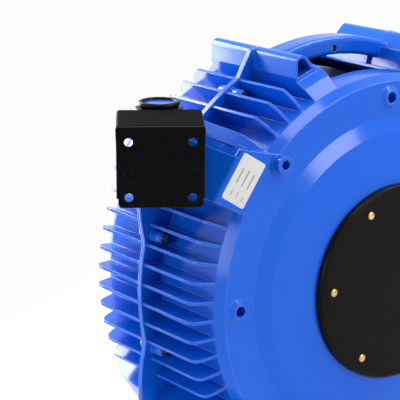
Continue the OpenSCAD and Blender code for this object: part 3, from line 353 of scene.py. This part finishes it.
def foldHighlightMask(tree, low, high):
    # painted highlight: a lighter line along the upper bends of folded sheet, where the normal leans partly upward
    surface = addNode(tree, "ShaderNodeNewGeometry")
    upward = addNode(tree, "ShaderNodeSeparateXYZ", {0: surface.outputs["Normal"]}).outputs["Z"]
    above = addMath(tree, "GREATER_THAN", upward, low)
    below = addMath(tree, "LESS_THAN", upward, high)
    return addMath(tree, "MULTIPLY", above, below)


def surfaceMaterial(name, look):
    material = newMaterial(name)
    tree = material.node_tree
    uneven = useGroup(tree, drift, Scale=look["driftScale"]).outputs["Value"]
    edges = useGroup(tree, softEdge, Radius=look["edgeRadius"])
    grain = useGroup(tree, surfaceGrain, Scale=look["grainScale"])

    colour = addMix(tree, "RGBA", uneven, look["colour"], look["colourDrift"])
    # painted highlight: a lighter colour along edges, where they would catch the light
    if "edgeColour" in look:
        paintedEdgeHighlight = addMath(tree, "MULTIPLY", edges.outputs["Edge"], look["edgeShare"])
        colour = addMix(tree, "RGBA", paintedEdgeHighlight, colour, look["edgeColour"])
    if "foldColour" in look:
        fold = foldHighlightMask(tree, look["foldLow"], look["foldHigh"])
        colour = addMix(tree, "RGBA", fold, colour, look["foldColour"])
    if "speckColour" in look:
        fleck = useGroup(tree, specks, Scale=look["speckScale"], Size=look["speckSize"],
                         Share=look["speckShare"])
        colour = addMix(tree, "RGBA", fleck.outputs["Mask"], colour, look["speckColour"])

    smoothest, roughest = look["roughness"]
    gloss = addNode(tree, "ShaderNodeMapRange", {
        "Value": uneven, "To Min": smoothest, "To Max": roughest})
    bump = addNode(tree, "ShaderNodeBump", {
        "Strength": look["grainStrength"], "Distance": look["grainDepth"],
        "Height": grain.outputs["Height"], "Normal": edges.outputs["Normal"]})
    shader = addNode(tree, "ShaderNodeBsdfPrincipled", {
        "Base Color": colour, "Roughness": gloss.outputs[0], "Normal": bump.outputs[0],
        "Metallic": look["metallic"], "Specular IOR Level": look["shine"]})
    addNode(tree, "ShaderNodeOutputMaterial", {"Surface": shader.outputs[0]})
    return material


# One look for each of the record's material slots. Colour and roughness drift slowly between two
# values; the edge and fold colours lie over them as painted highlights, and the speck colours as
# dust. Lengths are in metres.
looks = {
    "case_blue": {
        "colour": (0.002, 0.087, 0.55), "colourDrift": (0.003, 0.095, 0.58), "driftScale": 7.0,
        "roughness": (0.13, 0.18), "metallic": 0.0, "shine": 0.30,
        # the edge colour paints a light highlight line along the case's fin and rim edges
        "edgeRadius": 0.0011, "edgeColour": (0.24, 0.38, 0.92), "edgeShare": 0.65,
        "grainScale": 700.0, "grainStrength": 0.10, "grainDepth": 0.0004,
    },
    "bracket_black": {
        "colour": (0.0036, 0.0036, 0.0042), "colourDrift": (0.0048, 0.0048, 0.0054),
        "driftScale": 14.0, "roughness": (0.6, 0.72), "metallic": 0.0, "shine": 0.008,
        "edgeRadius": 0.0008, "edgeColour": (0.05, 0.05, 0.052), "edgeShare": 0.6,
        # the fold colour is a painted highlight along the upper bend of the bracket
        "foldColour": (0.035, 0.035, 0.037), "foldLow": 0.55, "foldHigh": 0.8,
        "speckColour": (0.08, 0.085, 0.09), "speckScale": 520.0, "speckSize": 0.16,
        "speckShare": 0.08, "grainScale": 1500.0, "grainStrength": 0.35, "grainDepth": 0.0003,
    },
    "black_plastic": {
        "colour": (0.004, 0.0036, 0.0036), "colourDrift": (0.006, 0.0054, 0.0054),
        "driftScale": 10.0, "roughness": (0.26, 0.34), "metallic": 0.0, "shine": 0.07,
        "edgeRadius": 0.0005, "edgeColour": (0.05, 0.05, 0.055), "edgeShare": 0.3,
        "speckColour": (0.12, 0.12, 0.13), "speckScale": 90.0, "speckSize": 0.05,
        "speckShare": 0.1, "grainScale": 1100.0, "grainStrength": 0.2, "grainDepth": 0.0003,
    },
    "bush_nylon": {
        "colour": (0.045, 0.045, 0.048), "colourDrift": (0.06, 0.06, 0.062), "driftScale": 20.0,
        "roughness": (0.4, 0.5), "metallic": 0.0, "shine": 0.5, "edgeRadius": 0.0004,
        "grainScale": 900.0, "grainStrength": 0.15, "grainDepth": 0.0003,
    },
    "brass": {
        "colour": (0.78, 0.5, 0.2), "colourDrift": (0.6, 0.36, 0.13), "driftScale": 60.0,
        "roughness": (0.22, 0.36), "metallic": 1.0, "shine": 0.5, "edgeRadius": 0.0002,
        "grainScale": 2200.0, "grainStrength": 0.1, "grainDepth": 0.0002,
    },
    "zinc_steel": {
        "colour": (0.62, 0.63, 0.65), "colourDrift": (0.5, 0.51, 0.54), "driftScale": 40.0,
        "roughness": (0.25, 0.4), "metallic": 1.0, "shine": 0.5, "edgeRadius": 0.0003,
        "grainScale": 1800.0, "grainStrength": 0.1, "grainDepth": 0.0002,
    },
    "label_white": {
        "colour": (0.54, 0.54, 0.537), "colourDrift": (0.59, 0.59, 0.586), "driftScale": 60.0,
        "roughness": (0.35, 0.45), "metallic": 0.0, "shine": 0.3, "edgeRadius": 0.0002,
        "grainScale": 600.0, "grainStrength": 0.05, "grainDepth": 0.0002,
    },
    "drum_grey": {
        "colour": (0.17, 0.185, 0.25), "colourDrift": (0.21, 0.22, 0.28), "driftScale": 12.0,
        "roughness": (0.38, 0.5), "metallic": 0.0, "shine": 0.5, "edgeRadius": 0.0006,
        "grainScale": 800.0, "grainStrength": 0.15, "grainDepth": 0.0003,
    },
    "dark_steel": {
        "colour": (0.2, 0.2, 0.21), "colourDrift": (0.28, 0.27, 0.27), "driftScale": 25.0,
        "roughness": (0.35, 0.5), "metallic": 1.0, "shine": 0.5, "edgeRadius": 0.0004,
        "grainScale": 1600.0, "grainStrength": 0.15, "grainDepth": 0.0002,
    },
    "spring_steel": {
        "colour": (0.22, 0.25, 0.33), "colourDrift": (0.3, 0.3, 0.34), "driftScale": 30.0,
        "roughness": (0.25, 0.38), "metallic": 1.0, "shine": 0.5, "edgeRadius": 0.0002,
        "grainScale": 2000.0, "grainStrength": 0.1, "grainDepth": 0.0002,
    },
    "phenolic": {
        "colour": (0.12, 0.04, 0.015), "colourDrift": (0.16, 0.06, 0.02), "driftScale": 40.0,
        "roughness": (0.35, 0.5), "metallic": 0.0, "shine": 0.5, "edgeRadius": 0.0004,
        "grainScale": 1200.0, "grainStrength": 0.15, "grainDepth": 0.0003,
    },
    "carbon": {
        "colour": (0.02, 0.02, 0.021), "colourDrift": (0.03, 0.03, 0.03), "driftScale": 50.0,
        "roughness": (0.5, 0.65), "metallic": 0.0, "shine": 0.5, "edgeRadius": 0.0003,
        "grainScale": 1800.0, "grainStrength": 0.2, "grainDepth": 0.0003,
    },
    "terminal_ivory": {
        "colour": (0.7, 0.66, 0.54), "colourDrift": (0.74, 0.7, 0.6), "driftScale": 30.0,
        "roughness": (0.35, 0.45), "metallic": 0.0, "shine": 0.5, "edgeRadius": 0.0005,
        "grainScale": 900.0, "grainStrength": 0.1, "grainDepth": 0.0003,
    },
    "roller_grey": {
        "colour": (0.36, 0.37, 0.38), "colourDrift": (0.42, 0.43, 0.44), "driftScale": 30.0,
        "roughness": (0.3, 0.42), "metallic": 0.0, "shine": 0.5, "edgeRadius": 0.0005,
        "grainScale": 900.0, "grainStrength": 0.1, "grainDepth": 0.0003,
    },
}

finishes = {slot: surfaceMaterial(slot, look) for slot, look in looks.items()}
print("materials built:", len(finishes))

for subpart in frame["record"]["subparts"]:
    mesh = cadNodes[subpart["node"]].data
    mesh.materials.clear()
    mesh.materials.append(finishes[subpart["material_slot"]])
print("nodes finished")

joinWithin = 1e-5   # metres between points that are one corner


def looseParts(node):
    # points of each separate solid of a node
    bm = bmesh.new()
    bm.from_mesh(cadNodes[node].data)
    bmesh.ops.remove_doubles(bm, verts=bm.verts, dist=joinWithin)
    seen = set()
    parts = []
    for start in bm.verts:
        if start in seen:
            continue
        seen.add(start)
        stack, part = [start], []
        while stack:
            point = stack.pop()
            part.append(point.co.copy())
            for edge in point.link_edges:
                other = edge.other_vert(point)
                if other not in seen:
                    seen.add(other)
                    stack.append(other)
        parts.append(part)
    bm.free()
    return parts


screwShape = {
    "segments": 48,
    "rings": 14,
    "rim": 0.22,            # share of the head's height at its edge
    "doming": 0.94,         # 1 makes the top half a ball, and 0 makes it flat
    "slotHalfWidth": 0.15,  # the cross recess, as shares of the head's radius
    "slotReach": 0.58,
    "slotSoft": 0.05,
    "slotDepth": 0.62,      # share of the head's height
    "slotRise": 0.5,        # share of that depth lost towards the ends
    "tipLength": 0.0005,
    "tipShare": 0.75,       # of the shank's radius
    "turnStep": 0.7,        # radians from one screw's recess to the next
    "endBand": 1e-4,        # metres, for points at an end or on the rim of a plain screw
}
# darker brass colour: painted shade for the screws that sit deep in their bosses
shadedBrass = {     # for the screws that sit deep in their bosses
    "colour": (0.2, 0.19, 0.14),
    "colourDrift": (0.1, 0.09, 0.07),
}


def easeIn(value, low, high):
    # from 0 at low to 1 at high, without a corner at either
    share = min(max((value - low) / (high - low), 0), 1)
    return share * share * (3 - 2 * share)


def headHeight(x, y, shape):
    # height over a head of radius 1 and height 1
    dome = shape["rim"] + (1 - shape["rim"]) * math.sqrt(1 - shape["doming"] * (x * x + y * y))
    soft, reach, half = shape["slotSoft"], shape["slotReach"], shape["slotHalfWidth"]
    cut = 0
    for across, along in ((abs(x), abs(y)), (abs(y), abs(x))):
        inside = 1 - easeIn(across, half - soft, half + soft)
        inside *= 1 - easeIn(along, reach - 2 * soft, reach)
        cut = max(cut, inside * (1 - shape["slotRise"] * along / reach))
    return dome - shape["slotDepth"] * cut


def turnScrew(bm, shape, seat, outward, headRadius, headRise, shankRadius, shankLength, turn):
    # domed head on its seat, with the shank behind it
    facing = outward.to_track_quat("Z", "Y").to_matrix().to_4x4()
    place = Matrix.Translation(seat) @ facing @ Matrix.Rotation(turn, 4, "Z")
    count = shape["segments"]

    def ringOf(radius, heightAt):
        points = []
        for step in range(count):
            angle = 2 * math.pi * step / count
            x, y = math.cos(angle) * radius, math.sin(angle) * radius
            points.append(bm.verts.new(place @ Vector((x, y, heightAt(x, y)))))
        return points

    def onTop(x, y):
        return headRise * headHeight(x / headRadius, y / headRadius, shape)

    peak = bm.verts.new(place @ Vector((0, 0, onTop(0, 0))))
    rings = [ringOf(headRadius * (ring + 1) / shape["rings"], onTop)
             for ring in range(shape["rings"])]
    for radius, height in (
            (headRadius, 0.0),
            (shankRadius, 0.0),
            (shankRadius, shape["tipLength"] - shankLength),
            (shankRadius * shape["tipShare"], -shankLength)):
        rings.append(ringOf(radius, lambda x, y: height))
    end = bm.verts.new(place @ Vector((0, 0, -shankLength)))
    for step in range(count):
        after = (step + 1) % count
        bm.faces.new((peak, rings[0][step], rings[0][after]))
        for inner, outer in zip(rings, rings[1:]):
            bm.faces.new((inner[step], outer[step], outer[after], inner[after]))
        bm.faces.new((end, rings[-1][after], rings[-1][step]))


def replaceScrews(node, name, axis, finish, shape):
    # each plain screw's ends and radii give its place, direction and size
    bm = bmesh.new()
    band = shape["endBand"]
    for index, part in enumerate(looseParts(node)):
        along = [point.dot(axis) for point in part]
        middle = sum((point - axis * t for point, t in zip(part, along)), Vector()) / len(part)
        reach = [(point - axis * t - middle).length for point, t in zip(part, along)]
        low, high = min(along), max(along)
        atLow = max(r for r, t in zip(reach, along) if t < low + band)
        atHigh = max(r for r, t in zip(reach, along) if t > high - band)
        outward = axis if atHigh > atLow else -axis
        headRadius, shankRadius = max(reach), min(atLow, atHigh)
        tops = [point.dot(outward) for point in part]
        seat = min(t for t, r in zip(tops, reach) if r > headRadius - band)
        turnScrew(bm, shape, middle + outward * seat, outward, headRadius, max(tops) - seat,
                  shankRadius, seat - min(tops), shape["turnStep"] * index)
    bmesh.ops.recalc_face_normals(bm, faces=bm.faces)
    for face in bm.faces:
        face.smooth = True
    screws = addMesh(name, bm)
    screws.data.materials.append(finish)
    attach(screws, "case")
    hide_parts(node)


drumSpin = next(joint for joint in frame["joints"] if joint["name"] == "drum_spin")
axleLine = Vector(drumSpin["axis"]).normalized()
deepBrass = surfaceMaterial("shadedBrass", dict(looks["brass"], **shadedBrass))
replaceScrews("cover_screws", "coverScrews", axleLine, finishes["brass"], screwShape)
replaceScrews("case_screws", "caseScrews", axleLine, deepBrass, screwShape)
print("screws turned")

ratingPlate = {
    "corner": 0.0022,
    "cornerSteps": 6,
    "edge": 0.0001,     # bevel along the face's edge
    "inkRise": 0.00004,
    "ink": (0.2, 0.2, 0.205),
    # for each rule: start and end along the plate and place across it, as shares, and its
    # thickness in metres
    "rules": [(0.12, 0.24, 0.27, 0.0006), (0.38, 0.72, 0.27, 0.0011),
              (0.12, 0.26, 0.52, 0.0006), (0.38, 0.74, 0.52, 0.0011),
              (0.12, 0.22, 0.77, 0.0006), (0.38, 0.70, 0.77, 0.0011)],
}


def plateAxes(node):
    # one corner of a thin plate, and its thin, short and long edges
    corners = looseParts(node)[0]
    first = corners[0]
    steps = sorted((corner - first for corner in corners[1:]), key=lambda step: step.length)
    thin, wide, tall = steps[0], steps[1], steps[3]     # the third is the thin side's diagonal
    return first, thin, wide, tall


def roundedLoop(bm, place, width, length, corner, height, steps):
    # points round a rectangle with rounded corners
    points = []
    for index, (x, y) in enumerate(((1, 1), (-1, 1), (-1, -1), (1, -1))):
        for step in range(steps + 1):
            angle = math.pi / 2 * (index + step / steps)
            points.append(bm.verts.new(place @ Vector((
                x * (width / 2 - corner) + corner * math.cos(angle),
                y * (length / 2 - corner) + corner * math.sin(angle), height))))
    return points


def bridgeLoops(bm, lower, upper):
    # faces between two loops of as many points
    faces = []
    for step in range(len(lower)):
        after = (step + 1) % len(lower)
        faces.append(bm.faces.new((lower[step], lower[after], upper[after], upper[step])))
    return faces


def buildRatingPlate(shape):
    first, thin, wide, tall = plateAxes("rating_plate")
    fromAxle = first + (wide + tall) / 2 - Vector(drumSpin["pos_m"])
    if thin.dot(fromAxle) < 0:      # its face looks away from the drum
        first, thin = first + thin, -thin
    up, across = tall.normalized(), wide.normalized()
    out = thin.normalized()
    if across.cross(up).dot(out) < 0:
        first, across, wide = first + wide, -across, -wide
    centre = first + (wide + tall) / 2
    place = Matrix.Translation(centre) @ Matrix((across, up, out)).transposed().to_4x4()
    width, length, thick = wide.length, tall.length, thin.length

    bm = bmesh.new()
    edge = shape["edge"]
    loops = [roundedLoop(bm, place, width - 2 * inset, length - 2 * inset,
                         shape["corner"] - inset, height, shape["cornerSteps"])
             for inset, height in ((0, 0), (0, thick - edge), (edge, thick))]
    for lower, upper in zip(loops, loops[1:]):
        bridgeLoops(bm, lower, upper)
    bm.faces.new(loops[-1])
    bm.faces.new(loops[0][::-1])

    for start, end, side, thickness in shape["rules"]:
        corners = [(side * width - width / 2 + half * thickness / 2, share * length - length / 2)
                   for half, share in ((-1, start), (1, start), (1, end), (-1, end))]
        top, foot = [[bm.verts.new(place @ Vector((x, y, height))) for x, y in corners]
                     for height in (thick + shape["inkRise"], thick - edge)]
        faces = [bm.faces.new(top), bm.faces.new(foot[::-1])] + bridgeLoops(bm, foot, top)
        for face in faces:
            face.material_index = 1

    plate = addMesh("ratingPlate", bm)
    inkLook = dict(looks["label_white"], colour=shape["ink"], colourDrift=shape["ink"])
    plate.data.materials.append(finishes["label_white"])
    plate.data.materials.append(surfaceMaterial("ruleInk", inkLook))
    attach(plate, "case")
    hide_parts("rating_plate")


buildRatingPlate(ratingPlate)
print("rating plate built")
